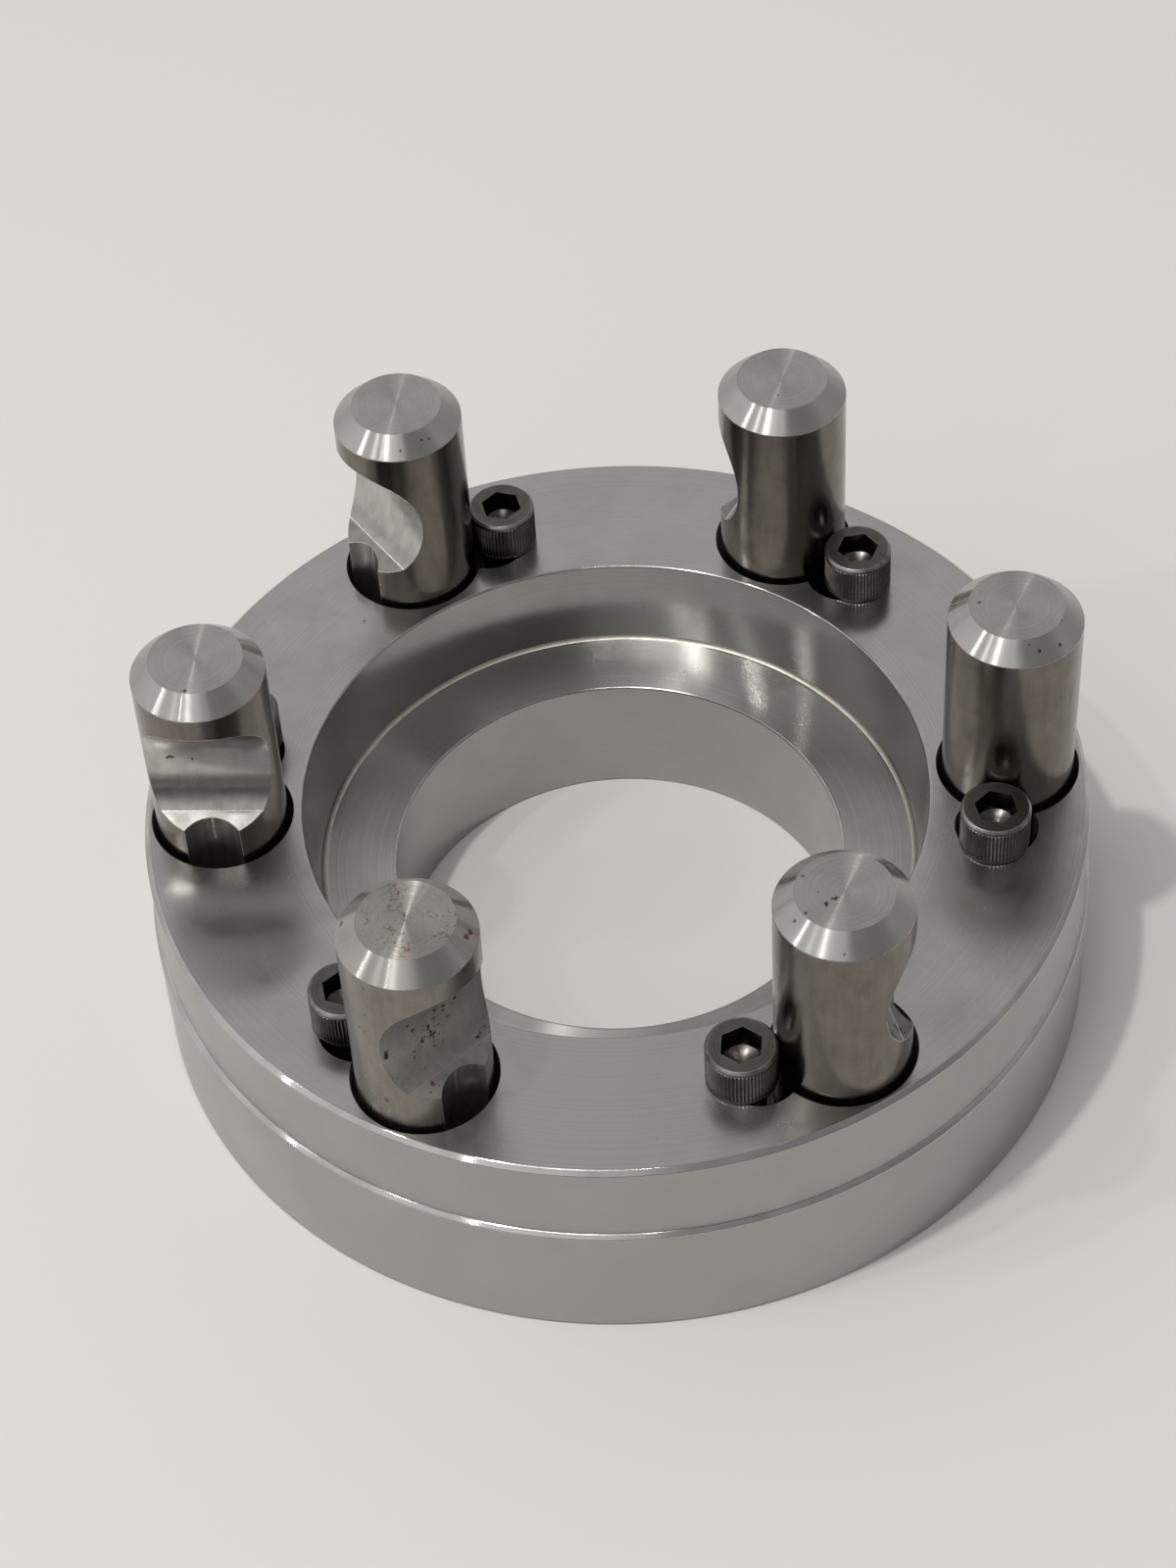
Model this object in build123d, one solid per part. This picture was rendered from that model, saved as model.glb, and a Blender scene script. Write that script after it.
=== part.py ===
from build123d import *
from math import cos, pi, radians, sin, sqrt, tan
import os

# Lathe chuck backplate with a short-taper spindle socket, cam lock studs and lock screws.
# Millimetres. The origin is the centre of the underside, +Z is the turning axis, and the
# spindle side faces up. Heights and depths of the studs and screws count from the spindle face.

# Plate, turned in one piece
plate_thickness = 41.0
band_diameter = 160.0
band_depth = 16.2
step_width = 0.75
rim_chamfer = 0.8
step_chamfer = 0.65
base_chamfer = 0.5

# Spindle socket and through bore
socket_mouth_diameter = 106.375
socket_half_angle = 7.125
socket_depth = 16.3
socket_edge_break = 0.3
socket_corner_fillet = 0.8
bore_diameter = 77.2
bore_edge_break = 0.3

# Stud circle, numbered clockwise from above
stud_circle_diameter = 133.35
first_stud_angle = 120.0
# How far each stud stands turned from facing along the circle, in degrees
stud_turns = (3.4, -1.3, 0.0, -16.4, -20.1, -4.6)

# Cam stud: plain body, cam cut, facet under the cut, locking groove and threaded shank
stud_diameter = 22.2
stud_height = 38.3
stud_chamfer = 3.3
stud_sink = 15.0
stud_hole_clearance = 0.9
stud_float = 1.0
stud_shank_diameter = 16.0
stud_shank_length = 19.0
stud_shank_chamfer = 1.0
stud_shoulder_chamfer = 0.5
thread_clearance = 0.05
stud_tip_gap = 1.5
cam_cut_radius = 13.9
cam_cut_height = 18.2
cam_cut_floor = 3.5
cam_edge_height = 9.0
cam_lip_height = 6.7

# Lock screw: socket head cap screw that stands out of its pocket beside the stud
head_diameter = 11.7
head_height = 7.94
head_chamfer = 0.4
head_edge_break = 0.2
socket_flats = 6.35
socket_recess = 4.0
socket_point_angle = 118.0
screw_diameter = 7.94
screw_length = 12.7
screw_tip_chamfer = 0.8
# How far each hex socket stands turned, in degrees
socket_turns = (12.5, 35.0, 11.5, 52.5, 8.0, 30.0)

# Lock pocket, open to the stud hole, with the tapped hole under it
lock_swing = 14.2
lock_engagement = 2.65
screw_gap = 0.15
pocket_play = 0.1
groove_clearance = 0.35
lock_pocket_depth = 13.5
tapped_hole_diameter = 6.6
tapped_hole_depth = 12.0

# Worked out from the sizes above
band_radius = band_diameter / 2
body_radius = band_radius + step_width
mouth_radius = socket_mouth_diameter / 2
bore_radius = bore_diameter / 2
circle_radius = stud_circle_diameter / 2
stud_radius = stud_diameter / 2
head_radius = head_diameter / 2
screw_radius = screw_diameter / 2
stud_count = len(stud_turns)
floor_height = plate_thickness - socket_depth
step_height = plate_thickness - band_depth
taper_slope = tan(radians(socket_half_angle))
stud_hole_radius = stud_radius + stud_hole_clearance
stud_hole_depth = stud_sink + stud_float
lock_offset = stud_radius + head_radius - lock_engagement
screw_offset = stud_radius + head_radius + screw_gap
pocket_radius = screw_offset - lock_offset + screw_radius + pocket_play
groove_radius = head_radius + groove_clearance
DOWN = (Align.CENTER, Align.CENTER, Align.MAX)
UP = (Align.CENTER, Align.CENTER, Align.MIN)


def station(number):
    """Stud axis on the spindle face, with local X outwards and local Y along the circle."""
    angle = first_stud_angle - number * 360 / stud_count
    x = circle_radius * cos(radians(angle))
    y = circle_radius * sin(radians(angle))
    return Location((x, y, plate_thickness), (0, 0, angle))


def beside_stud(distance):
    """Place on the lock screw's side of a stud, at a distance from the stud axis."""
    swing = radians(lock_swing)
    return Pos(-distance * sin(swing), -distance * cos(swing), 0)


def make_backplate():
    """Turned plate with taper socket and bore, then the stud holes and lock pockets."""
    section = Polyline(
        (bore_radius + bore_edge_break, 0),
        (body_radius - base_chamfer, 0),
        (body_radius, base_chamfer),
        (body_radius, step_height - step_chamfer),
        (body_radius - step_chamfer, step_height),
        (band_radius, step_height),
        (band_radius, plate_thickness - rim_chamfer),
        (band_radius - rim_chamfer, plate_thickness),
        (mouth_radius + socket_edge_break, plate_thickness),
        (mouth_radius - taper_slope * socket_edge_break, plate_thickness - socket_edge_break),
        (mouth_radius - taper_slope * socket_depth, floor_height),
        (bore_radius + bore_edge_break, floor_height),
        (bore_radius, floor_height - bore_edge_break),
        (bore_radius, bore_edge_break),
        close=True,
    )
    face = make_face(section)
    corner = face.vertices().sort_by_distance((mouth_radius, floor_height, 0))[0]
    face = fillet(corner, socket_corner_fillet)
    plate = revolve(Plane.XZ * face, Axis.Z)
    stud_hole = Cylinder(stud_hole_radius, stud_hole_depth, align=DOWN)
    shank_bore_depth = stud_sink + stud_shank_length + stud_tip_gap
    shank_bore = Cylinder(stud_shank_diameter / 2 + thread_clearance, shank_bore_depth, align=DOWN)
    pocket = Cylinder(pocket_radius, lock_pocket_depth, align=DOWN)
    tapped_hole = Cylinder(tapped_hole_diameter / 2, lock_pocket_depth + tapped_hole_depth, align=DOWN)
    cutter = stud_hole + shank_bore + beside_stud(lock_offset) * (pocket + tapped_hole)
    for number in range(stud_count):
        plate -= station(number) * cutter
    return plate


def make_cam_cutter():
    """Solid that cuts the concave cam seat and the facet below it out of a stud's side."""
    centre = cam_cut_floor + cam_cut_radius
    reach = stud_radius + stud_chamfer / 2
    edge = centre - sqrt(cam_cut_radius**2 - (cam_cut_height - cam_edge_height) ** 2)
    top = cam_cut_height + sqrt(cam_cut_radius**2 - (centre - reach) ** 2)
    facet_slope = (cam_edge_height - cam_lip_height) / (stud_radius - edge)
    foot = cam_lip_height - facet_slope * (reach - stud_radius)
    arc = ThreePointArc((reach, top), (cam_cut_floor, cam_cut_height), (edge, cam_edge_height))
    rest = Polyline((edge, cam_edge_height), (reach, foot), (reach, top))
    return extrude(Plane.YZ * make_face(arc + rest), amount=stud_diameter, both=True)


def make_cam_stud():
    """One stud about its own axis, with the cam cut and the locking groove facing local Y."""
    stud_body = Cylinder(stud_radius, stud_height + stud_sink, align=UP)
    stud_body = chamfer(stud_body.edges().group_by(Axis.Z)[-1], stud_chamfer)
    stud_body = chamfer(stud_body.edges().group_by(Axis.Z)[0], stud_shoulder_chamfer)
    shank = Cylinder(stud_shank_diameter / 2, stud_shank_length, align=DOWN)
    shank = chamfer(shank.edges().group_by(Axis.Z)[0], stud_shank_chamfer)
    groove = Cylinder(groove_radius, lock_pocket_depth + cam_edge_height, align=UP)
    stud = Pos(0, 0, -stud_sink) * (stud_body + shank)
    stud -= make_cam_cutter()
    return stud - Pos(0, lock_offset, -lock_pocket_depth) * groove


def make_lock_screw():
    """One cap screw about its own axis, with the underside of its head at zero."""
    head = Cylinder(head_radius, head_height, align=UP)
    head = chamfer(head.edges().group_by(Axis.Z)[-1], head_chamfer)
    head = chamfer(head.edges().group_by(Axis.Z)[0], head_edge_break)
    shank = Cylinder(screw_radius, screw_length, align=DOWN)
    shank = chamfer(shank.edges().group_by(Axis.Z)[0], screw_tip_chamfer)
    socket_corner = socket_flats / 2 / cos(pi / 6)
    hexagon = RegularPolygon(socket_corner, 6)
    recess = extrude(Pos(0, 0, head_height - socket_recess) * hexagon, amount=socket_recess)
    point_depth = socket_flats / 2 / tan(radians(socket_point_angle / 2))
    point = Pos(0, 0, head_height - socket_recess) * Cone(0, socket_flats / 2, point_depth, align=DOWN)
    return head + shank - recess - point


def write_node(name, solid):
    """Write one piece as parts/NAME.step."""
    solid.label = name
    export_step(solid, f"parts/{name}.step")


os.makedirs("parts", exist_ok=True)
write_node("backplate", make_backplate())
cam_stud = make_cam_stud()
lock_screw = make_lock_screw()
for number in range(stud_count):
    place = station(number)
    stud_place = place * Rot(0, 0, stud_turns[number])
    screw_place = place * beside_stud(screw_offset) * Rot(0, 0, socket_turns[number])
    write_node(f"cam_stud_{number + 1}", stud_place * cam_stud)
    write_node(f"lock_screw_{number + 1}", screw_place * lock_screw)
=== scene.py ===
import bmesh
import bpy
from math import atan2, cos, degrees, hypot, pi, radians, sin, sqrt, tan
from mathutils import Matrix, Vector


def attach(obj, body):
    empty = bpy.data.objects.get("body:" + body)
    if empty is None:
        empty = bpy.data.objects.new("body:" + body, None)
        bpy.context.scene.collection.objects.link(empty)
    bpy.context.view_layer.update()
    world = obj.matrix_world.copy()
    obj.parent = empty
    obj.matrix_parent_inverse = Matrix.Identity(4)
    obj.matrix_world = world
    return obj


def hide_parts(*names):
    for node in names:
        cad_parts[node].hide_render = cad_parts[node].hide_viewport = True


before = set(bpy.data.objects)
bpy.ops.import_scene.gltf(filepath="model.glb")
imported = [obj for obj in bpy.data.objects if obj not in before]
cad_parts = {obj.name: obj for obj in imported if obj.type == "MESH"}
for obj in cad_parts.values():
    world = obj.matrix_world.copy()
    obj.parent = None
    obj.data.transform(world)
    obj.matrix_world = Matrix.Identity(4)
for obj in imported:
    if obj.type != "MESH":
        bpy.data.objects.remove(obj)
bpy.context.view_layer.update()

# Camera: where the photo was taken from, a little left of the middle and 48 degrees up.
camera_data = bpy.data.cameras.new("photo_camera")
camera_data.lens = 84.43
camera_data.sensor_width = 36.0
camera_data.clip_start = 0.05
camera_data.clip_end = 20.0
camera = bpy.data.objects.new("photo_camera", camera_data)
camera.location = (-0.00335269, -0.41392407, 0.50767115)
camera.rotation_euler = (0.72616, 0.04468, -0.04744)
bpy.context.scene.collection.objects.link(camera)
bpy.context.scene.camera = camera
bpy.context.scene.view_settings.view_transform = "Standard"


# Backplate: a steel disc turned all over, with a step round the rim, a short taper socket, a
# floor and a through bore. Its face is ground, and the stud holes and lock pockets are bored
# into it. Every turned corner has a small break that catches the light.
mm = 0.001
micron = 1e-6
plate_top = 41.0 * mm
body_radius = 80.75 * mm
band_radius = 80.0 * mm
step_height = plate_top - 16.2 * mm
rim_chamfer = 0.8 * mm
step_chamfer = 0.65 * mm
base_chamfer = 0.5 * mm
mouth_radius = 106.375 / 2 * mm
taper_half_angle = radians(7.125)
floor_height = plate_top - 16.3 * mm
socket_foot_radius = mouth_radius - tan(taper_half_angle) * (plate_top - floor_height)
socket_corner_fillet = 0.8 * mm
bore_radius = 77.2 / 2 * mm
edge_break = 0.3 * mm
hole_edge_break = 0.12 * mm
rim_roll = 0.1 * mm
plate_steps = 360
# Between these two radii the face has no edges but those of the holes
face_inner = 53.6 * mm
face_outer = 79.1 * mm
rim_start = face_outer + 0.05 * mm

# Stud circle and the holes at each stud
circle_radius = 133.35 / 2 * mm
stud_count = 6
first_stud_angle = 120
stud_radius = 11.1 * mm
stud_hole_radius = 12.0 * mm
stud_hole_depth = 16.0 * mm
stud_hole_steps = 128
shank_bore_radius = 8.05 * mm
shank_bore_depth = 35.5 * mm
head_radius = 5.85 * mm
lock_engagement = 2.65 * mm
lock_offset = stud_radius + head_radius - lock_engagement
lock_swing = radians(14.2)
pocket_radius = 6.87 * mm
pocket_depth = 13.5 * mm
pocket_steps = 96
tapped_hole_radius = 3.3 * mm
tapped_hole_depth = 25.5 * mm
cutter_rise = 3.0 * mm


def station(number):
    """Place of a stud on the spindle face, with local X outwards from the plate's axis."""
    angle = radians(first_stud_angle - number * 360 / stud_count)
    seat = Vector((circle_radius * cos(angle), circle_radius * sin(angle), plate_top))
    return Matrix.Translation(seat) @ Matrix.Rotation(angle, 4, "Z")


def beside_stud(distance):
    """Place on the lock screw's side of a stud."""
    return Matrix.Translation((-distance * sin(lock_swing), -distance * cos(lock_swing), 0))


def turn_profile(profile, steps):
    """Full turn of a closed outline of (radius, height) corners about Z."""
    turned = bmesh.new()
    corners = [turned.verts.new((radius, 0, height)) for radius, height in profile]
    sides = [turned.edges.new((corners[i - 1], corners[i])) for i in range(len(corners))]
    outline = corners + sides
    bmesh.ops.spin(turned, geom=outline, axis=(0, 0, 1), angle=2 * pi, steps=steps, use_merge=True)
    bmesh.ops.remove_doubles(turned, verts=turned.verts, dist=micron)
    bmesh.ops.recalc_face_normals(turned, faces=turned.faces)
    return turned


def ring_edges(solid, radius, height):
    """Edges that run round the turning axis at one radius and height."""
    near = 3 * micron
    ring = set()
    for vertex in solid.verts:
        if abs(hypot(*vertex.co.xy) - radius) < near and abs(vertex.co.z - height) < near:
            ring.add(vertex)
    return [edge for edge in solid.edges if ring.issuperset(edge.verts)]


def lies_level(edge, height, near):
    """Whether both ends of an edge lie at a height."""
    return all(abs(vertex.co.z - height) < near for vertex in edge.verts)


def break_edges(solid, edges, width, segments):
    """Rolls edges over by a small width, and gives the new faces."""
    rolled = bmesh.ops.bevel(
        solid,
        geom=edges,
        offset=width,
        segments=segments,
        profile=0.5,
        affect="EDGES",
        material=-1,
        clamp_overlap=False,
    )
    return rolled["faces"]


def shade_crisp(solid):
    """Smooth shading that stops at sharp edges and where a broad face meets a narrow one."""
    sharp_bend = radians(9)
    slight_bend = radians(1.5)
    broad = 3
    for face in solid.faces:
        face.smooth = True
    for edge in solid.edges:
        areas = sorted(face.calc_area() for face in edge.link_faces)
        bend = edge.calc_face_angle(0)
        uneven = len(areas) == 2 and areas[1] > broad * areas[0] and bend > slight_bend
        edge.smooth = bend < sharp_bend and not uneven


def place_mesh(name, mesh):
    """Object of a mesh, linked to the scene."""
    piece = bpy.data.objects.new(name, mesh)
    bpy.context.scene.collection.objects.link(piece)
    return piece


def cut_away(solid, cutter_solid):
    """A bmesh less a cutter. Both are used up."""
    pieces = []
    for name, source in (("body", solid), ("cutter", cutter_solid)):
        mesh = bpy.data.meshes.new(name)
        source.to_mesh(mesh)
        source.free()
        pieces.append(place_mesh(name, mesh))
    cut = pieces[0].modifiers.new("cut", "BOOLEAN")
    cut.operation = "DIFFERENCE"
    cut.solver = "EXACT"
    cut.object = pieces[1]
    result = bmesh.new()
    result.from_object(pieces[0], bpy.context.evaluated_depsgraph_get())
    for piece in pieces:
        bpy.data.objects.remove(piece)
    bmesh.ops.remove_doubles(result, verts=result.verts, dist=2 * micron)
    return result


def stepped_drill(radius, depth, lower_radius, lower_depth, steps):
    """Cutter of a round hole with a narrower one under it."""
    profile = [
        (0, cutter_rise),
        (radius, cutter_rise),
        (radius, -depth),
        (lower_radius, -depth),
        (lower_radius, -lower_depth),
        (0, -lower_depth),
    ]
    return turn_profile(profile, steps)


def stud_hole_drill():
    """Cutter of the stud hole and the shank bore."""
    return stepped_drill(
        stud_hole_radius, stud_hole_depth, shank_bore_radius, shank_bore_depth, stud_hole_steps
    )


def lock_pocket_drill():
    """Cutter of the lock pocket beside the stud and the tapped hole."""
    drill = stepped_drill(
        pocket_radius, pocket_depth, tapped_hole_radius, tapped_hole_depth, pocket_steps
    )
    bmesh.ops.transform(drill, matrix=beside_stud(lock_offset), verts=drill.verts)
    return drill


def at_every_station(make_cutter):
    """One bmesh with a cutter at each station."""
    together = bmesh.new()
    for number in range(stud_count):
        cutter = make_cutter()
        bmesh.ops.transform(cutter, matrix=station(number), verts=cutter.verts)
        mesh = bpy.data.meshes.new("cutter")
        cutter.to_mesh(mesh)
        cutter.free()
        together.from_mesh(mesh)
        bpy.data.meshes.remove(mesh)
    return together


plate_profile = [
    (bore_radius, 0),
    (body_radius - base_chamfer, 0),
    (body_radius, base_chamfer),
    (body_radius, step_height - step_chamfer),
    (body_radius - step_chamfer, step_height),
    (band_radius, step_height),
    (band_radius, plate_top - rim_chamfer),
    (band_radius - rim_chamfer, plate_top),
    (mouth_radius, plate_top),
    (socket_foot_radius, floor_height),
    (bore_radius, floor_height),
]
plate = turn_profile(plate_profile, plate_steps)
for radius, height, width, segments in (
    (mouth_radius, plate_top, edge_break, 10),
    (socket_foot_radius, floor_height, socket_corner_fillet, 12),
    (bore_radius, floor_height, edge_break, 2),
    (bore_radius, 0, edge_break, 2),
):
    break_edges(plate, ring_edges(plate, radius, height), width, segments)
outer_corners = []
for radius, height in (
    (band_radius - rim_chamfer, plate_top),
    (band_radius, plate_top - rim_chamfer),
    (body_radius - step_chamfer, step_height),
    (body_radius, step_height - step_chamfer),
):
    outer_corners += ring_edges(plate, radius, height)
break_edges(plate, outer_corners, rim_roll, segments=3)

# The ground face becomes six broad faces that meet midway between the studs, so that the
# holes are cut cleanly into it
stud_spacing = 360 / stud_count
half_step = 180 / plate_steps
spokes = []
for edge in plate.edges:
    turn = degrees(atan2(edge.verts[0].co.y, edge.verts[0].co.x))
    past_midway = (turn - stud_spacing / 2 + half_step) % stud_spacing
    across_face = lies_level(edge, plate_top, micron) and edge.calc_length() > 10 * mm
    if across_face and past_midway > 2 * half_step:
        spokes.append(edge)
bmesh.ops.dissolve_edges(plate, edges=spokes)
plate = cut_away(plate, at_every_station(stud_hole_drill))
plate = cut_away(plate, at_every_station(lock_pocket_drill))

wall_bend = radians(60)
hole_rims = []
for edge in plate.edges:
    within_face = all(face_inner < hypot(*vertex.co.xy) < face_outer for vertex in edge.verts)
    if within_face and lies_level(edge, plate_top, micron) and edge.calc_face_angle(0) > wall_bend:
        hole_rims.append(edge)
break_edges(plate, hole_rims, hole_edge_break, segments=2)
shade_crisp(plate)


# The plate's finishes are all bare steel: fine turned lines round the axis, a soft cloud of
# handling marks and a few stains. The groups are shared with the studs and the screws.
mm_per_metre = 1000.0


def add_node(tree, kind, inputs=None, **settings):
    """Node with its settings and its inputs: a socket is linked, any other value is set."""
    node = tree.nodes.new(kind)
    for name, value in settings.items():
        setattr(node, name, value)
    for name, value in (inputs or {}).items():
        if isinstance(value, bpy.types.NodeSocket):
            tree.links.new(value, node.inputs[name])
        else:
            node.inputs[name].default_value = value
    return node


def calculate(tree, operation, first, second=0.0, third=0.0):
    """Output of a math node."""
    inputs = {0: first, 1: second, 2: third}
    return add_node(tree, "ShaderNodeMath", inputs, operation=operation).outputs[0]


def blend_colours(tree, amount, first, second):
    """Output of a colour mix."""
    mix = add_node(tree, "ShaderNodeMix", {0: amount, 6: first, 7: second}, data_type="RGBA")
    return mix.outputs[2]


def rescale(tree, value, low, high, to_low=0.0, to_high=1.0):
    """Output of a clamped change of range."""
    inputs = {
        "Value": value, "From Min": low, "From Max": high, "To Min": to_low, "To Max": to_high,
    }
    return add_node(tree, "ShaderNodeMapRange", inputs).outputs["Result"]


def noise(tree, place, scale, detail, roughness=0.5):
    """Output of a noise pattern in space."""
    inputs = {"Vector": place, "Scale": scale, "Detail": detail, "Roughness": roughness}
    return add_node(tree, "ShaderNodeTexNoise", inputs).outputs["Fac"]


def relief(tree, pattern, microns):
    """Normal of a surface on which a pattern from 0 to 1 stands up by some microns."""
    height = calculate(tree, "MULTIPLY", calculate(tree, "MULTIPLY", pattern, microns), micron)
    bump_inputs = {"Height": height, "Strength": 1.0, "Distance": 1.0}
    return add_node(tree, "ShaderNodeBump", bump_inputs).outputs[0]


def new_group(name, inputs, outputs):
    """Empty node group, its inputs and its outputs. Position is always the first input."""
    group = bpy.data.node_groups.new(name, "ShaderNodeTree")
    sockets = group.interface
    sockets.new_socket("Position", in_out="INPUT", socket_type="NodeSocketVector")
    for socket_name, kind, value in inputs:
        socket = sockets.new_socket(socket_name, in_out="INPUT", socket_type=kind)
        if value is not None:
            socket.default_value = value
    for socket_name, kind in outputs:
        sockets.new_socket(socket_name, in_out="OUTPUT", socket_type=kind)
    given = group.nodes.new("NodeGroupInput").outputs
    return group, given, group.nodes.new("NodeGroupOutput").inputs


def make_turned_lines():
    """Lines left by the turning tool, in radius on a face and in height on a wall."""
    group, given, result = new_group(
        "turned_lines",
        [("Lines per mm", "NodeSocketFloat", 4.0), ("Microns deep", "NodeSocketFloat", 2.0)],
        [("Tone", "NodeSocketFloat"), ("Normal", "NodeSocketVector")],
    )
    split = add_node(group, "ShaderNodeSeparateXYZ", {0: given["Position"]}).outputs
    square_x = calculate(group, "MULTIPLY", split["X"], split["X"])
    square = calculate(group, "MULTIPLY_ADD", split["Y"], split["Y"], square_x)
    along = calculate(group, "ADD", calculate(group, "SQRT", square), split["Z"])
    along_mm = calculate(group, "MULTIPLY", along, mm_per_metre)
    count = calculate(group, "MULTIPLY", along_mm, given["Lines per mm"])
    inputs = {"W": count, "Scale": 1.0, "Detail": 2.0, "Roughness": 0.6}
    pattern = add_node(group, "ShaderNodeTexNoise", inputs, noise_dimensions="1D").outputs["Fac"]
    group.links.new(rescale(group, pattern, 0.3, 0.7), result["Tone"])
    group.links.new(relief(group, pattern, given["Microns deep"]), result["Normal"])
    return group


def make_handling_marks():
    """Soft clouds from handling, upright streaks, and shallow waves in the surface."""
    streaks_per_mark = 3.0
    squeeze = (1.0, 1.0, 0.15)
    group, given, result = new_group(
        "handling_marks",
        [("Marks per metre", "NodeSocketFloat", 60.0), ("Wave microns", "NodeSocketFloat", 0.0)],
        [
            ("Cloud", "NodeSocketFloat"),
            ("Streak", "NodeSocketFloat"),
            ("Normal", "NodeSocketVector"),
        ],
    )
    place, marks = given["Position"], given["Marks per metre"]
    cloud = noise(group, place, marks, detail=5.0, roughness=0.6)
    group.links.new(rescale(group, cloud, 0.35, 0.68), result["Cloud"])
    upright_inputs = {"Vector": place, "Scale": squeeze}
    upright = add_node(group, "ShaderNodeMapping", upright_inputs).outputs[0]
    streaks = calculate(group, "MULTIPLY", marks, streaks_per_mark)
    streak = noise(group, upright, streaks, detail=4.0)
    group.links.new(rescale(group, streak, 0.35, 0.65), result["Streak"])
    wave = noise(group, place, marks, detail=2.0)
    group.links.new(relief(group, wave, given["Wave microns"]), result["Normal"])
    return group


def make_pits():
    """Scattered small spots, gathered in clusters. Reach is how much of the surface has them."""
    clusters_per_spot = 0.13
    pull_of_clusters = 0.5
    level_for_none, level_for_most = 1.05, 0.75
    blur = 0.03
    group, given, result = new_group(
        "pits",
        [("Spots per mm", "NodeSocketFloat", 0.8), ("Reach", "NodeSocketFloat", 0.3)],
        [("Spot", "NodeSocketFloat")],
    )
    scale = calculate(group, "MULTIPLY", given["Spots per mm"], mm_per_metre)
    spots = noise(group, given["Position"], scale, detail=3.0, roughness=0.7)
    cluster_scale = calculate(group, "MULTIPLY", scale, clusters_per_spot)
    clusters = noise(group, given["Position"], cluster_scale, detail=1.0)
    level = calculate(group, "MULTIPLY_ADD", clusters, pull_of_clusters, spots)
    threshold = rescale(group, given["Reach"], 0.0, 1.0, level_for_none, level_for_most)
    over = calculate(group, "SUBTRACT", level, threshold)
    group.links.new(rescale(group, over, 0.0, blur), result["Spot"])
    return group


def make_stain():
    """One ragged stain round a centre, from 0 to 1."""
    rags_per_metre = 900.0
    raggedness = 3.2
    full, gone = 2.1, 2.5
    group, given, result = new_group(
        "stain",
        [("Centre", "NodeSocketVector", None), ("Radius", "NodeSocketFloat", 0.001)],
        [("Spot", "NodeSocketFloat")],
    )
    ends = {0: given["Position"], 1: given["Centre"]}
    offset = add_node(group, "ShaderNodeVectorMath", ends, operation="SUBTRACT").outputs[0]
    ragged = noise(group, given["Position"], rags_per_metre, detail=3.0, roughness=0.7)
    length = add_node(group, "ShaderNodeVectorMath", {0: offset}, operation="LENGTH")
    reach = calculate(group, "DIVIDE", length.outputs["Value"], given["Radius"])
    edge = calculate(group, "MULTIPLY_ADD", ragged, raggedness, reach)
    group.links.new(rescale(group, edge, full, gone, 1.0, 0.0), result["Spot"])
    return group


turned_lines = make_turned_lines()
handling_marks = make_handling_marks()
pits = make_pits()
stain = make_stain()


def use_group(tree, group, inputs):
    """Group node's outputs."""
    return add_node(tree, "ShaderNodeGroup", inputs, node_tree=group).outputs


def steel(
    name, light, dark, gloss, stretch=0.0, lines=0.0, deep=0.0, marks=60.0, wave=0.0,
    local=None, spots=0.0, spots_per_mm=1.0, stains=(), rust=(0.12, 0.105, 0.09),
):
    """Bare steel. light and dark are the tones it lies between, gloss the roughnesses.

    stretch draws the gloss out across the turned lines, of which there are lines to the mm,
    deep microns deep. Without lines the grain is upright streaks. marks counts the handling
    marks to the metre, and wave is their height in microns. local is the attribute with the
    piece's own turning frame. spots says how much of the surface has small spots, and stains
    are (x, y, z, radius) in mm. Both have the colour rust.
    """
    material = bpy.data.materials.new(name)
    material.use_nodes = True
    tree = material.node_tree
    shader = tree.nodes["Principled BSDF"]
    place = add_node(tree, "ShaderNodeTexCoord").outputs["Object"]
    turning = place
    if local:
        turning = add_node(tree, "ShaderNodeAttribute", attribute_name=local).outputs["Vector"]
    mark_inputs = {"Position": place, "Marks per metre": marks, "Wave microns": wave}
    worn_look = use_group(tree, handling_marks, mark_inputs)
    grain, normal = worn_look["Streak"], worn_look["Normal"]
    if lines:
        line_inputs = {"Position": turning, "Lines per mm": lines, "Microns deep": deep}
        tool_look = use_group(tree, turned_lines, line_inputs)
        grain, normal = tool_look["Tone"], tool_look["Normal"]
    cloud = worn_look["Cloud"]
    tone = calculate(tree, "MULTIPLY_ADD", grain, 0.5, calculate(tree, "MULTIPLY", cloud, 0.5))
    colour = blend_colours(tree, tone, (*light, 1), (*dark, 1))
    roughness = rescale(tree, cloud, 0.0, 1.0, *gloss)
    masks = []
    if spots:
        spot_inputs = {"Position": place, "Reach": spots, "Spots per mm": spots_per_mm}
        masks.append(use_group(tree, pits, spot_inputs)["Spot"])
    for x, y, z, radius in stains:
        centre = (x * mm, y * mm, z * mm)
        stain_inputs = {"Position": place, "Centre": centre, "Radius": radius * mm}
        masks.append(use_group(tree, stain, stain_inputs)["Spot"])
    if masks:
        mask = masks[0]
        for other in masks[1:]:
            mask = calculate(tree, "MAXIMUM", mask, other)
        colour = blend_colours(tree, mask, colour, (*rust, 1))
    tree.links.new(colour, shader.inputs["Base Color"])
    tree.links.new(roughness, shader.inputs["Roughness"])
    if lines or wave:
        tree.links.new(normal, shader.inputs["Normal"])
    shader.inputs["Metallic"].default_value = 1.0
    if stretch:
        quarter_turn = 0.25
        shader.inputs["Anisotropic"].default_value = stretch
        shader.inputs["Anisotropic Rotation"].default_value = quarter_turn
        around = add_node(tree, "ShaderNodeTangent", direction_type="RADIAL", axis="Z")
        tree.links.new(around.outputs[0], shader.inputs["Tangent"])
    return material


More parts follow.
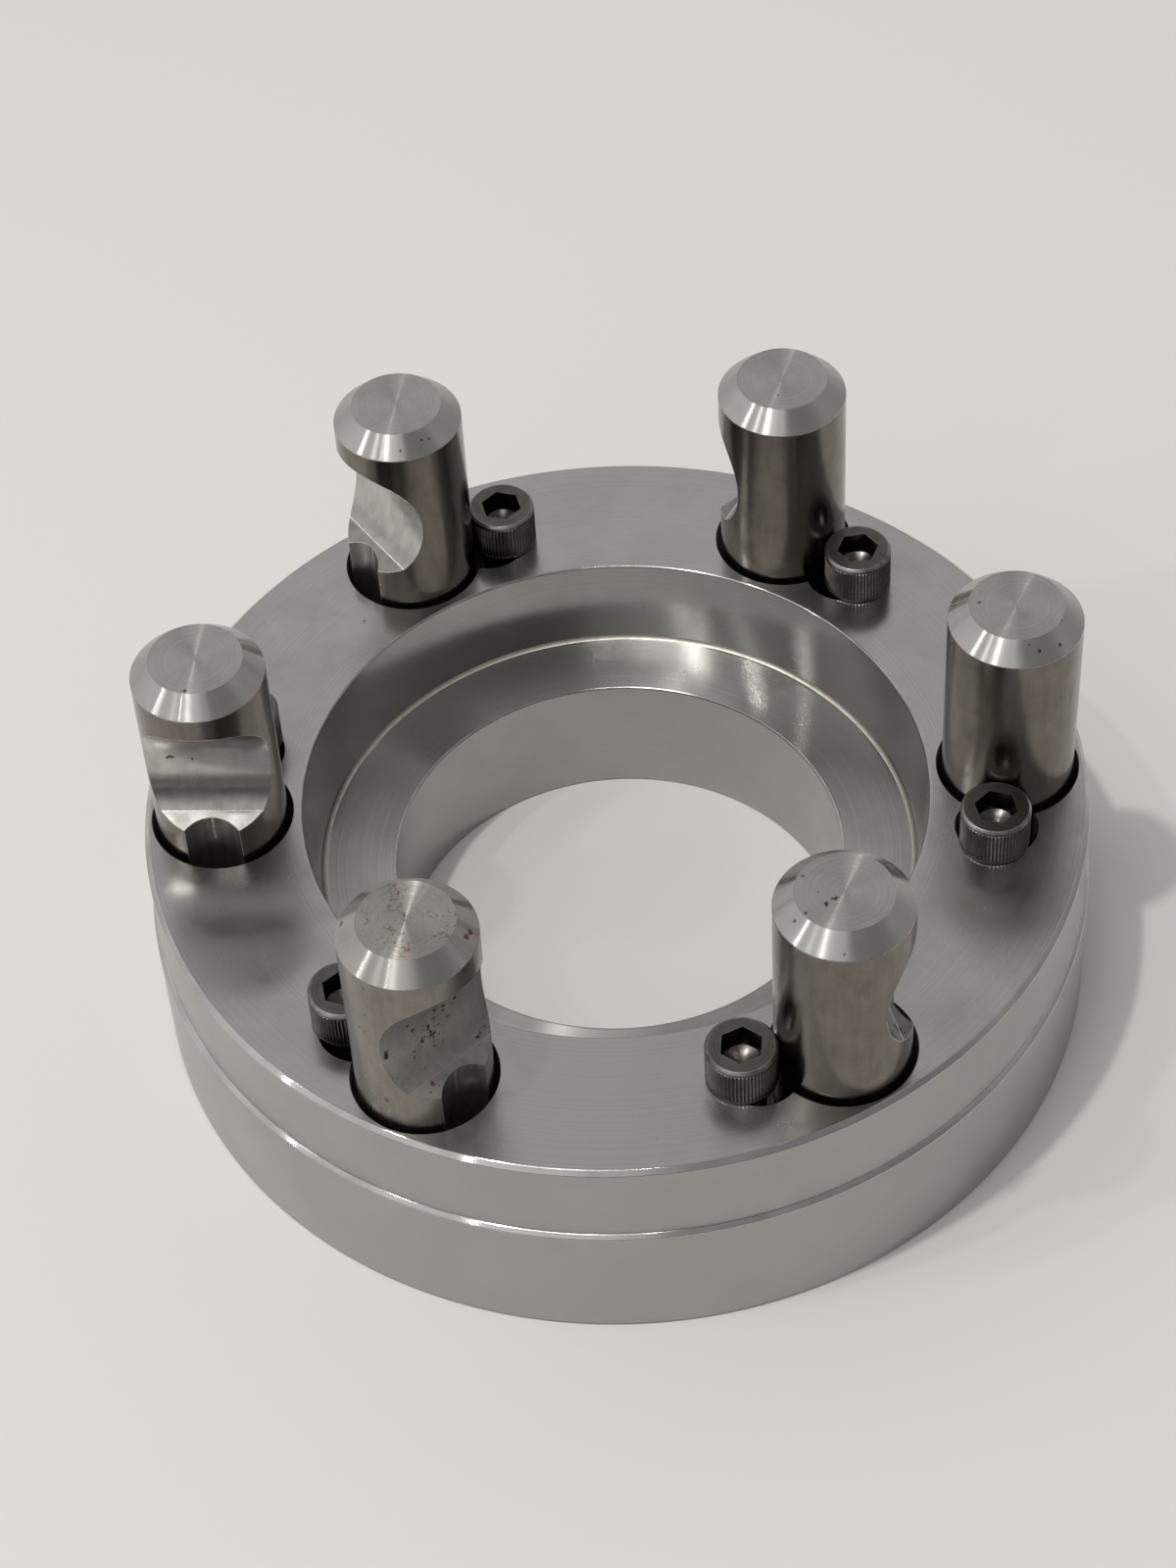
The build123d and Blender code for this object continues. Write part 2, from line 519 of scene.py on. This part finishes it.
ground_face = steel(
    "ground_face", light=(0.51, 0.51, 0.505), dark=(0.41, 0.41, 0.405), gloss=(0.2, 0.3),
    stretch=0.5, lines=3.0, deep=0.7, marks=90.0,
    stains=[(2.7, -73.6, 41.0, 0.2), (-42.3, 43.5, 41.0, 0.3)],
)
turned_band = steel(
    "turned_band", light=(0.44, 0.435, 0.43), dark=(0.4, 0.395, 0.39), gloss=(0.32, 0.36),
    stretch=0.3, lines=3.0, deep=1.0,
)
turned_taper = steel(
    "turned_taper", light=(0.4, 0.4, 0.39), dark=(0.32, 0.32, 0.31), gloss=(0.11, 0.16),
    stretch=0.7, lines=3.0, deep=0.6,
)
turned_floor = steel(
    "turned_floor", light=(0.46, 0.455, 0.44), dark=(0.37, 0.365, 0.35), gloss=(0.24, 0.28),
    stretch=1.0, lines=2.0, deep=4.0, marks=110.0,
)
bored_wall = steel(
    "bored_wall", light=(0.44, 0.435, 0.425), dark=(0.38, 0.375, 0.37), gloss=(0.2, 0.27),
    stretch=0.8, lines=3.0, deep=0.8,
)
broken_edge = steel(
    "broken_edge", light=(0.6, 0.6, 0.58), dark=(0.3, 0.3, 0.29), gloss=(0.13, 0.22),
    stretch=0.7, lines=2.0, deep=6.0, marks=300.0,
)
# Painted highlight: the fillet at the foot of the socket is lighter and more yellow than the floor
# round it
lit_corner_fillet = steel(
    "lit_corner_fillet", light=(0.72, 0.7, 0.62), dark=(0.4, 0.385, 0.34), gloss=(0.36, 0.5),
    lines=1.5, deep=8.0, marks=700.0,
)
turned_chamfer = steel(
    "turned_chamfer", light=(0.68, 0.68, 0.67), dark=(0.42, 0.42, 0.41), gloss=(0.1, 0.2),
    stretch=1.0, lines=2.0, deep=8.0, marks=120.0,
)
drilled_wall = steel(
    "drilled_wall", light=(0.6, 0.57, 0.53), dark=(0.42, 0.4, 0.37), gloss=(0.45, 0.55),
    lines=2.0, deep=6.0, marks=200.0,
)
plate_finishes = [
    ground_face,
    turned_band,
    turned_taper,
    turned_floor,
    bored_wall,
    broken_edge,
    lit_corner_fillet,
    turned_chamfer,
    drilled_wall,
]


def plate_finish(face):
    """Which of the plate's finishes a face has, from where it lies and how it leans."""
    middle = face.calc_center_median()
    radius = hypot(*middle.xy)
    lean = face.normal.z
    flat = abs(lean) > 0.999
    if radius > rim_start or middle.z < edge_break:
        on_chamfer = 0.03 < lean < 0.997
        return turned_chamfer if on_chamfer else turned_band
    if radius > face_inner:
        if flat:
            return ground_face if middle.z > plate_top - micron else drilled_wall
        on_hole_rim = middle.z > plate_top - hole_edge_break
        return broken_edge if on_hole_rim else drilled_wall
    at_bore = radius < bore_radius + edge_break
    on_mouth_rim = middle.z > plate_top - edge_break
    on_bore_rim = at_bore and middle.z > floor_height - edge_break
    if on_mouth_rim or on_bore_rim:
        return broken_edge
    on_fillet = 0.25 < lean < 0.95
    if on_fillet and radius > bore_radius + edge_break:
        return lit_corner_fillet
    if radius < bore_radius + micron:
        return bored_wall
    return turned_floor if flat else turned_taper


def finish_faces(solid, finishes, finish_of):
    """Gives each face its finish."""
    for face in solid.faces:
        face.material_index = finishes.index(finish_of(face))


def make_piece(name, solid, place, finishes):
    """Object of a solid, moved to its place, with its finishes."""
    mesh = bpy.data.meshes.new(name)
    solid.to_mesh(mesh)
    mesh.transform(place)
    for material in finishes:
        mesh.materials.append(material)
    return place_mesh(name, mesh)


finish_faces(plate, plate_finishes, plate_finish)
turned_backplate = make_piece("turned_backplate", plate, Matrix(), plate_finishes)
plate.free()
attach(turned_backplate, "root")
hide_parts("backplate")


# Cam studs: round steel studs, turned and ground, with a milled cam notch, a facet under it
# and a locking groove down to the foot. Each is screwed into the plate and stands turned a
# little differently. The front left one has rusted a little.
stud_turns = (3.4, -1.3, 0.0, -16.4, -20.1, -4.6)
# Stations count from 0 here, so this is stud 5
rusty_stud = 4
stud_steps = 180
stud_height = 38.3 * mm
stud_chamfer = 3.3 * mm
stud_sink = 15.0 * mm
shoulder_chamfer = 0.5 * mm
shank_radius = 8.0 * mm
shank_length = 19.0 * mm
shank_chamfer = 1.0 * mm
notch_radius = 13.9 * mm
notch_height = 18.2 * mm
notch_floor = 3.5 * mm
notch_edge_height = 9.0 * mm
notch_lip_height = 6.7 * mm
notch_bar_length = 30 * mm
notch_bar_sides = 200
groove_radius = 6.2 * mm
groove_line_height = 3.0 * mm
groove_bar_sides = 160
stud_edge_break = 0.09 * mm
highlight_line_width = 0.27 * mm
# How far a face's middle may lie inside the round of the side or of the groove
side_skin = 0.1 * mm
groove_skin = 0.05 * mm
rubbed_half_width = 0.15 * mm


def straight_bar(radius, length, sides, place):
    """Solid bar of so many sides, round when it has many."""
    bar = bmesh.new()
    bmesh.ops.create_cone(
        bar,
        cap_ends=True,
        segments=sides,
        radius1=radius,
        radius2=radius,
        depth=length,
        matrix=place,
    )
    return bar


def split_bar(bar, place, direction, clear_inner=False):
    """Splits a bar along a plane, and gives what lies on the cut."""
    whole = list(bar.verts) + list(bar.edges) + list(bar.faces)
    cut = bmesh.ops.bisect_plane(
        bar, geom=whole, plane_co=place, plane_no=direction, clear_inner=clear_inner
    )
    return cut["geom_cut"]


def notch_cutter():
    """Round bar across the stud, cut off below by the plane of the facet."""
    centre = notch_floor + notch_radius
    edge = centre - sqrt(notch_radius**2 - (notch_height - notch_edge_height) ** 2)
    across = Matrix.Translation((0, centre, notch_height)) @ Matrix.Rotation(pi / 2, 4, "Y")
    bar = straight_bar(notch_radius, notch_bar_length, notch_bar_sides, across)
    upwards = Vector((0, notch_edge_height - notch_lip_height, stud_radius - edge))
    on_cut = split_bar(bar, (0, edge, notch_edge_height), upwards, clear_inner=True)
    open_edges = [item for item in on_cut if isinstance(item, bmesh.types.BMEdge)]
    bmesh.ops.edgeloop_fill(bar, edges=open_edges)
    bmesh.ops.recalc_face_normals(bar, faces=bar.faces)
    return bar


def groove_cutter():
    """Round bar down the side of the stud, where the lock screw's head goes."""
    length = notch_edge_height + pocket_depth
    place = Matrix.Translation((0, lock_offset, (notch_edge_height - pocket_depth) / 2))
    bar = straight_bar(groove_radius, length, groove_bar_sides, place)
    split_bar(bar, (0, 0, groove_line_height), (0, 0, 1))
    return bar


stud_profile = [
    (0, stud_height),
    (stud_radius - stud_chamfer, stud_height),
    (stud_radius, stud_height - stud_chamfer),
    (stud_radius, shoulder_chamfer - stud_sink),
    (stud_radius - shoulder_chamfer, -stud_sink),
    (shank_radius, -stud_sink),
    (shank_radius, shank_chamfer - stud_sink - shank_length),
    (shank_radius - shank_chamfer, -stud_sink - shank_length),
    (0, -stud_sink - shank_length),
]
stud = turn_profile(stud_profile, stud_steps)
stud = cut_away(stud, notch_cutter())
stud = cut_away(stud, groove_cutter())

# The line under the notch is rounded wide and painted near white as a highlight, and the other
# milled edges are worn finely.
# The layer says which faces are which.
line_highlight = 1
edge_wear = 2
line_bends = (radians(15), radians(60))
milled_bend = radians(24)
wear_and_highlight = stud.faces.layers.int.new("wear_and_highlight")
notch_line = []
for edge in stud.edges:
    level = lies_level(edge, notch_edge_height, 5 * micron)
    if level and line_bends[0] < edge.calc_face_angle(0) < line_bends[1]:
        notch_line.append(edge)
for face in break_edges(stud, notch_line, highlight_line_width, segments=3):
    face[wear_and_highlight] = line_highlight
crisp_edges = []
for edge in stud.edges:
    low, high = sorted(vertex.co.z for vertex in edge.verts)
    above_shoulder = low > -stud_sink + 2 * shoulder_chamfer
    below_end = high < stud_height - 0.1 * stud_chamfer
    if above_shoulder and below_end and edge.calc_face_angle(0) > milled_bend:
        crisp_edges.append(edge)
for face in break_edges(stud, crisp_edges, stud_edge_break, segments=2):
    face[wear_and_highlight] = edge_wear
shade_crisp(stud)


def keep_own_frame(solid, name):
    """Stores where each corner lies about the piece's own axis, for its turned lines."""
    own_frame = solid.verts.layers.float_vector.new(name)
    for vertex in solid.verts:
        vertex[own_frame] = vertex.co


keep_own_frame(stud, "stud_frame")

stud_look = {"local": "stud_frame", "marks": 250.0}
faced_look = {"stretch": 1.0, "lines": 1.4, "deep": 60.0, **stud_look}
edge_look = {"local": "stud_frame", "marks": 900.0}
dark_stain = (0.11, 0.08, 0.062)
end_stains = [
    # On stud 6
    (-68.2, -7.0, 79.3, 0.35),
    # On stud 1
    (-32.8, 48.0, 77.3, 0.3), (-29.1, 49.6, 78.0, 0.28), (-27.8, 50.1, 77.7, 0.25),
    # On stud 3
    (69.3, -9.0, 77.7, 0.3), (72.8, -7.6, 77.3, 0.32), (67.6, -8.4, 78.6, 0.2),
    (60.8, 1.1, 79.3, 0.4), (73.4, -4.0, 79.2, 0.35),
    # On stud 2
    (32.4, 53.6, 79.3, 0.3), (33.7, 58.0, 79.3, 0.2),
    # On stud 4
    (31.8, -58.9, 79.3, 0.65), (30.3, -60.0, 79.3, 0.55), (27.3, -54.2, 79.3, 0.3),
    (29.3, -57.6, 79.3, 0.22), (25.4, -62.0, 78.1, 0.35), (27.1, -61.5, 79.3, 0.3),
    (32.4, -68.0, 76.8, 0.25),
]
stud_end = steel(
    "stud_end", light=(0.45, 0.445, 0.425), dark=(0.39, 0.385, 0.365), gloss=(0.17, 0.24),
    stains=end_stains, rust=dark_stain, **faced_look,
)
stud_bevel = steel(
    "stud_bevel", light=(0.56, 0.555, 0.535), dark=(0.48, 0.475, 0.455), gloss=(0.2, 0.26),
    stains=end_stains, rust=dark_stain, **faced_look,
)
stud_side = steel(
    "stud_side", light=(0.213, 0.193, 0.169), dark=(0.146, 0.131, 0.112), gloss=(0.17, 0.24),
    stretch=0.2, wave=35.0, stains=[(24.0, -63.7, 57.0, 0.45)], rust=dark_stain, **stud_look,
)
milled_notch = steel(
    "milled_notch", light=(0.58, 0.565, 0.54), dark=(0.42, 0.41, 0.39), gloss=(0.2, 0.28),
    wave=50.0,
    stains=[
        (-73.5, -3.0, 59.3, 0.5), (-72.8, -3.0, 59.3, 0.5), (-73.1, -3.0, 59.7, 0.45),
        (-69.6, -3.3, 59.0, 0.28), (41.7, -62.2, 50.0, 1.1), (40.2, -65.8, 53.4, 0.9),
    ],
    rust=dark_stain, **stud_look,
)
# Painted shade: the facet under the notch is darker than the notch, which holds down the highlight
# it catches
shaded_milled_facet = steel(
    "shaded_milled_facet", light=(0.31, 0.302, 0.29), dark=(0.22, 0.214, 0.205), gloss=(0.38, 0.48),
    wave=30.0, stains=[(41.7, -62.2, 50.0, 1.1)], rust=dark_stain, **stud_look,
)
stud_groove = steel(
    "stud_groove", light=(0.38, 0.36, 0.34), dark=(0.16, 0.15, 0.14), gloss=(0.34, 0.46),
    wave=80.0, **stud_look,
)
# Painted highlight: the rounded line under the notch is near white, lighter than bare steel
painted_highlight_line = steel(
    "painted_highlight_line", light=(1.0, 0.98, 0.94), dark=(0.62, 0.605, 0.575), gloss=(0.6, 0.75),
    **edge_look,
)
worn_edge = steel(
    "worn_edge", light=(0.72, 0.7, 0.66), dark=(0.3, 0.29, 0.265), gloss=(0.36, 0.5),
    **edge_look,
)

# The rusty stud has small pits all over, and stains where rust has crept from an edge
rust_brown = (0.1, 0.055, 0.036)
rusty_end = steel(
    "rusty_end", light=(0.43, 0.42, 0.395), dark=(0.37, 0.36, 0.335), gloss=(0.22, 0.28),
    spots=0.62, spots_per_mm=1.8, rust=(0.25, 0.2, 0.155), **faced_look,
)
rusty_bevel = steel(
    "rusty_bevel", light=(0.54, 0.53, 0.505), dark=(0.45, 0.44, 0.415), gloss=(0.22, 0.28),
    stains=[
        (-43.3, -55.8, 76.9, 0.6), (-24.4, -60.4, 77.5, 0.6), (-23.7, -59.4, 77.5, 0.6),
        (-24.0, -60.0, 77.9, 0.5),
    ],
    rust=(0.19, 0.12, 0.09), **faced_look,
)
# Painted light: the rusty stud's side is lighter than the other studs' sides; its spots and stains
# are rust
rusty_lit_side = steel(
    "rusty_lit_side", light=(0.27, 0.25, 0.225), dark=(0.2, 0.182, 0.16), gloss=(0.24, 0.31),
    stretch=0.2, wave=40.0, spots=0.22, spots_per_mm=0.8,
    stains=[
        (-40.6, -66.1, 67.3, 0.4), (-40.3, -66.4, 74.1, 0.45), (-41.6, -65.1, 75.5, 0.35),
        (-38.9, -67.3, 47.2, 0.6),
    ],
    rust=dark_stain, **stud_look,
)
rusty_notch = steel(
    "rusty_notch", light=(0.53, 0.515, 0.485), dark=(0.4, 0.385, 0.36), gloss=(0.42, 0.52),
    wave=40.0, spots=0.52, spots_per_mm=1.2,
    stains=[
        (-38.5, -66.4, 57.6, 0.6), (-38.1, -66.7, 58.1, 0.6), (-38.3, -66.5, 57.1, 0.5),
        (-24.3, -58.6, 50.5, 0.5), (-23.7, -58.3, 50.9, 0.45), (-24.0, -58.4, 49.9, 0.4),
        (-30.4, -59.8, 59.5, 0.6), (-29.2, -58.9, 59.2, 0.5), (-31.7, -61.2, 56.9, 0.5),
        (-34.0, -62.9, 58.8, 0.5), (-34.6, -63.5, 60.7, 0.4), (-32.7, -62.4, 55.4, 0.4),
        (-27.3, -57.2, 59.0, 0.4), (-28.3, -58.5, 56.3, 0.35),
    ],
    rust=rust_brown, **stud_look,
)
# Painted shade: the rusty stud's facet is darker than its notch; its spots and stain are rust
rusty_shaded_facet = steel(
    "rusty_shaded_facet", light=(0.37, 0.36, 0.34), dark=(0.28, 0.27, 0.255), gloss=(0.42, 0.52),
    wave=40.0, spots=0.4, spots_per_mm=1.3, stains=[(-31.4, -66.5, 49.5, 0.55)],
    rust=rust_brown, **stud_look,
)
dull_edge = steel(
    "dull_edge", light=(0.5, 0.48, 0.45), dark=(0.33, 0.315, 0.29), gloss=(0.42, 0.52),
    **edge_look,
)
stud_finishes = [
    stud_end,
    stud_bevel,
    stud_side,
    milled_notch,
    shaded_milled_facet,
    stud_groove,
    worn_edge,
    painted_highlight_line,
]
rusty_finishes = [
    rusty_end,
    rusty_bevel,
    rusty_lit_side,
    rusty_notch,
    rusty_shaded_facet,
    stud_groove,
    dull_edge,
    dull_edge,
]


def stud_finish(face):
    """Which of a plain stud's finishes a face has, from where it lies and how it leans."""
    middle = face.calc_center_median()
    from_axis = hypot(*middle.xy)
    lean = face.normal.z
    if face[wear_and_highlight]:
        return painted_highlight_line if face[wear_and_highlight] == line_highlight else worn_edge
    if middle.z > stud_height - micron:
        return stud_end
    faces_up = lean > 0.3
    upright = abs(lean) < 0.2
    if faces_up and middle.z > stud_height - stud_chamfer:
        return stud_bevel
    if from_axis > stud_radius - side_skin or middle.z < -pocket_depth:
        return stud_side
    from_groove_axis = hypot(middle.x, middle.y - lock_offset)
    if upright and from_groove_axis < groove_radius + groove_skin:
        # The deepest strip of the groove is lighter above its line
        rubbed = abs(middle.x) < rubbed_half_width and middle.z > groove_line_height
        return worn_edge if rubbed else stud_groove
    return shaded_milled_facet if middle.z < notch_edge_height else milled_notch


finish_faces(stud, stud_finishes, stud_finish)
for number in range(stud_count):
    turn = Matrix.Rotation(radians(stud_turns[number]), 4, "Z")
    finishes = rusty_finishes if number == rusty_stud else stud_finishes
    ground_stud = make_piece(f"ground_stud_{number + 1}", stud, station(number) @ turn, finishes)
    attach(ground_stud, "root")
    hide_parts(f"cam_stud_{number + 1}")
stud.free()


# Lock screws: black socket head cap screws with a straight knurl round the head. Each stands
# loose beside its stud, with its head on the plate's face and its shank in the pocket.
socket_turns = (12.5, 35.0, 11.5, 52.5, 8.0, 30.0)
head_height = 7.94 * mm
head_chamfer = 0.4 * mm
foot_chamfer = 0.2 * mm
knurl_teeth = 60
knurl_depth = 0.22 * mm
knurl_low = 0.7 * mm
knurl_high = 6.7 * mm
knurl_fade = 0.35 * mm
socket_flats = 6.35 * mm
socket_depth = 4.0 * mm
point_half_angle = radians(59)
point_steps = 72
point_lift = 0.01 * mm
screw_radius = 3.97 * mm
screw_length = 12.7 * mm
tip_chamfer = 0.8 * mm
screw_gap = 0.15 * mm
head_edge_roll = 0.07 * mm

screw_profile = [
    (0, head_height),
    (head_radius - head_chamfer, head_height),
    (head_radius, head_height - head_chamfer),
    (head_radius, knurl_high + knurl_fade),
    (head_radius, knurl_high),
    (head_radius, knurl_low),
    (head_radius, knurl_low - knurl_fade),
    (head_radius, foot_chamfer),
    (head_radius - foot_chamfer, 0),
    (screw_radius, 0),
    (screw_radius, tip_chamfer - screw_length),
    (screw_radius - tip_chamfer, -screw_length),
    (0, -screw_length),
]
screw = turn_profile(screw_profile, 2 * knurl_teeth)
for vertex in screw.verts:
    on_knurl = knurl_low - micron < vertex.co.z < knurl_high + micron
    if on_knurl and abs(hypot(*vertex.co.xy) - head_radius) < micron:
        tooth_side = round(atan2(vertex.co.y, vertex.co.x) / (pi / knurl_teeth))
        if tooth_side % 2:
            vertex.co.xy *= 1 - knurl_depth / head_radius
socket_corner = socket_flats / 2 / cos(pi / 6)
on_head = Matrix.Translation((0, 0, head_height))
screw = cut_away(screw, straight_bar(socket_corner, 2 * socket_depth, sides=6, place=on_head))
socket_floor = head_height - socket_depth
point_depth = socket_flats / 2 / tan(point_half_angle)
point_profile = [
    (0, socket_floor + point_lift),
    (socket_flats / 2, socket_floor + point_lift),
    (0, socket_floor - point_depth),
]
screw = cut_away(screw, turn_profile(point_profile, point_steps))
rim_edges = ring_edges(screw, head_radius - head_chamfer, head_height)
rim_edges += ring_edges(screw, head_radius, head_height - head_chamfer)
break_edges(screw, rim_edges, head_edge_roll, segments=2)
shade_crisp(screw)
keep_own_frame(screw, "screw_frame")

screw_look = {"local": "screw_frame", "marks": 400.0}
black_head = steel(
    "black_head", light=(0.17, 0.162, 0.152), dark=(0.08, 0.076, 0.071), gloss=(0.29, 0.41),
    lines=2.0, deep=4.0, **screw_look,
)
worn_rim = steel(
    "worn_rim", light=(0.6, 0.583, 0.565), dark=(0.13, 0.126, 0.121), gloss=(0.3, 0.43),
    lines=1.0, deep=6.0, **screw_look,
)
# Painted shade: the walls of the hex socket are darker than the rest of the black head
shaded_key_wall = steel(
    "shaded_key_wall", light=(0.05, 0.047, 0.044), dark=(0.03, 0.028, 0.026), gloss=(0.3, 0.4),
    **screw_look,
)
bright_point = steel(
    "bright_point", light=(0.13, 0.12, 0.11), dark=(0.08, 0.074, 0.068), gloss=(0.24, 0.34),
    stretch=0.5, lines=3.0, deep=2.0, **screw_look,
)
screw_finishes = [black_head, worn_rim, shaded_key_wall, bright_point]


def screw_finish(face):
    """Which of the screw's finishes a face has, from where it lies."""
    middle = face.calc_center_median()
    from_axis = hypot(*middle.xy)
    near_top = head_height - 1.1 * head_chamfer < middle.z < head_height - micron
    near_rim = from_axis > head_radius - 1.2 * head_chamfer
    if near_top and near_rim:
        return worn_rim
    in_head = 0 < middle.z < head_height - 0.1 * mm
    in_socket = in_head and from_axis < head_radius - 1 * mm
    if in_socket:
        return bright_point if middle.z < socket_floor + 2 * point_lift else shaded_key_wall
    return black_head


finish_faces(screw, screw_finishes, screw_finish)
screw_offset = stud_radius + head_radius + screw_gap
for number in range(stud_count):
    turn = Matrix.Rotation(radians(socket_turns[number]), 4, "Z")
    place = station(number) @ beside_stud(screw_offset) @ turn
    black_screw = make_piece(f"black_screw_{number + 1}", screw, place, screw_finishes)
    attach(black_screw, "root")
    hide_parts(f"lock_screw_{number + 1}")
screw.free()


# Floor: a plain pale sheet that the plate lies on, slightly warm.
floor_half_width = 10.0


def lay_sheet(name, half_width, middle):
    """Flat square sheet and the shader of its material."""
    sheet_solid = bmesh.new()
    place = Matrix.Translation(middle)
    bmesh.ops.create_grid(sheet_solid, x_segments=1, y_segments=1, size=half_width, matrix=place)
    material = bpy.data.materials.new(name)
    material.use_nodes = True
    sheet = make_piece(name, sheet_solid, Matrix(), [material])
    sheet_solid.free()
    return sheet, material.node_tree.nodes["Principled BSDF"]


pale_floor, floor_shader = lay_sheet("pale_floor", floor_half_width, (0, 0, 0))
floor_shader.inputs["Base Color"].default_value = (0.79, 0.772, 0.756, 1)
floor_shader.inputs["Roughness"].default_value = 0.9
floor_shader.inputs["Specular IOR Level"].default_value = 0.1


# Light: a soft room and a row of five lamps from overhead to the left, which draw the bright
# streaks on the turned steel, with two low lamps for the glints on its broken corners.
room_strength = 0.6
seen_strength = 0.37
room = bpy.data.worlds.new("soft_room")
room.use_nodes = True
room_tree = room.node_tree
towards_sky = add_node(room_tree, "ShaderNodeTexCoord").outputs["Generated"]
sky = add_node(room_tree, "ShaderNodeSeparateXYZ", {0: towards_sky}).outputs
above = rescale(room_tree, sky["Z"], 0.75, 1.0, 1.0, 0.45)
near_floor = rescale(room_tree, sky["Z"], 0.0, 0.5, 0.6, 1.0)
from_left = rescale(room_tree, sky["X"], -1.0, 1.0, 1.45, 0.6)
# In front, the photographer keeps off most of what comes in low and a part from the right
front = rescale(room_tree, sky["Y"], -0.4, -0.15, 1.0, 0.0)
right = rescale(room_tree, sky["X"], -0.05, 0.15, 0.0, 0.45)
low = rescale(room_tree, sky["Z"], 0.2, 0.4, 0.8, 0.0)
screen = calculate(room_tree, "MULTIPLY", front, calculate(room_tree, "MAXIMUM", right, low))
glow = calculate(room_tree, "MULTIPLY", above, near_floor)
glow = calculate(room_tree, "MULTIPLY", glow, from_left)
glow = calculate(room_tree, "MULTIPLY", glow, calculate(room_tree, "SUBTRACT", 1.0, screen))
# Looked at directly the room is even, so that it runs on from the floor
camera_ray = add_node(room_tree, "ShaderNodeLightPath").outputs["Is Camera Ray"]
seen = calculate(room_tree, "MULTIPLY", camera_ray, seen_strength)
lit = calculate(room_tree, "MULTIPLY", glow, room_strength)
strength = calculate(room_tree, "MAXIMUM", lit, seen)
background = room_tree.nodes["Background"]
background.inputs["Color"].default_value = (1.0, 0.985, 0.97, 1)
room_tree.links.new(strength, background.inputs["Strength"])
bpy.context.scene.world = room

lamp_distance = 1.6
for name, direction, size, power in (
    ("right_lamp", (0.016, -0.15, 1.0), 0.04, 0.6),
    ("soft_lamp", (-0.12, -0.12, 1.0), 0.3, 2.2),
    ("main_lamp", (-0.255, -0.15, 1.0), 0.06, 6.4),
    ("left_lamp", (-0.5, -0.15, 1.0), 0.05, 1.5),
    ("side_lamp", (-1.0, -0.15, 1.0), 0.08, 1.0),
    ("low_lamp", (-0.86, -0.23, 0.44), 0.04, 0.35),
    ("front_lamp", (-0.47, -0.65, 0.59), 0.04, 0.25),
):
    lamp_data = bpy.data.lights.new(name, "AREA")
    lamp_data.size = size
    lamp_data.energy = power
    lamp_data.color = (1.0, 0.98, 0.95)
    lamp = bpy.data.objects.new(name, lamp_data)
    towards = Vector(direction).normalized()
    lamp.location = towards * lamp_distance
    lamp.rotation_euler = towards.to_track_quat("Z", "Y").to_euler()
    bpy.context.scene.collection.objects.link(lamp)

# Dark card in front of the plate, under the photographer. It shows only as a reflection.
card_half_width = 0.5
card_middle = (0, -0.67, 0.5 * mm)
dark_card, card_shader = lay_sheet("dark_card", card_half_width, card_middle)
dark_card.visible_camera = False
dark_card.visible_diffuse = False
dark_card.visible_shadow = False
card_shader.inputs["Base Color"].default_value = (0.08, 0.08, 0.08, 1)
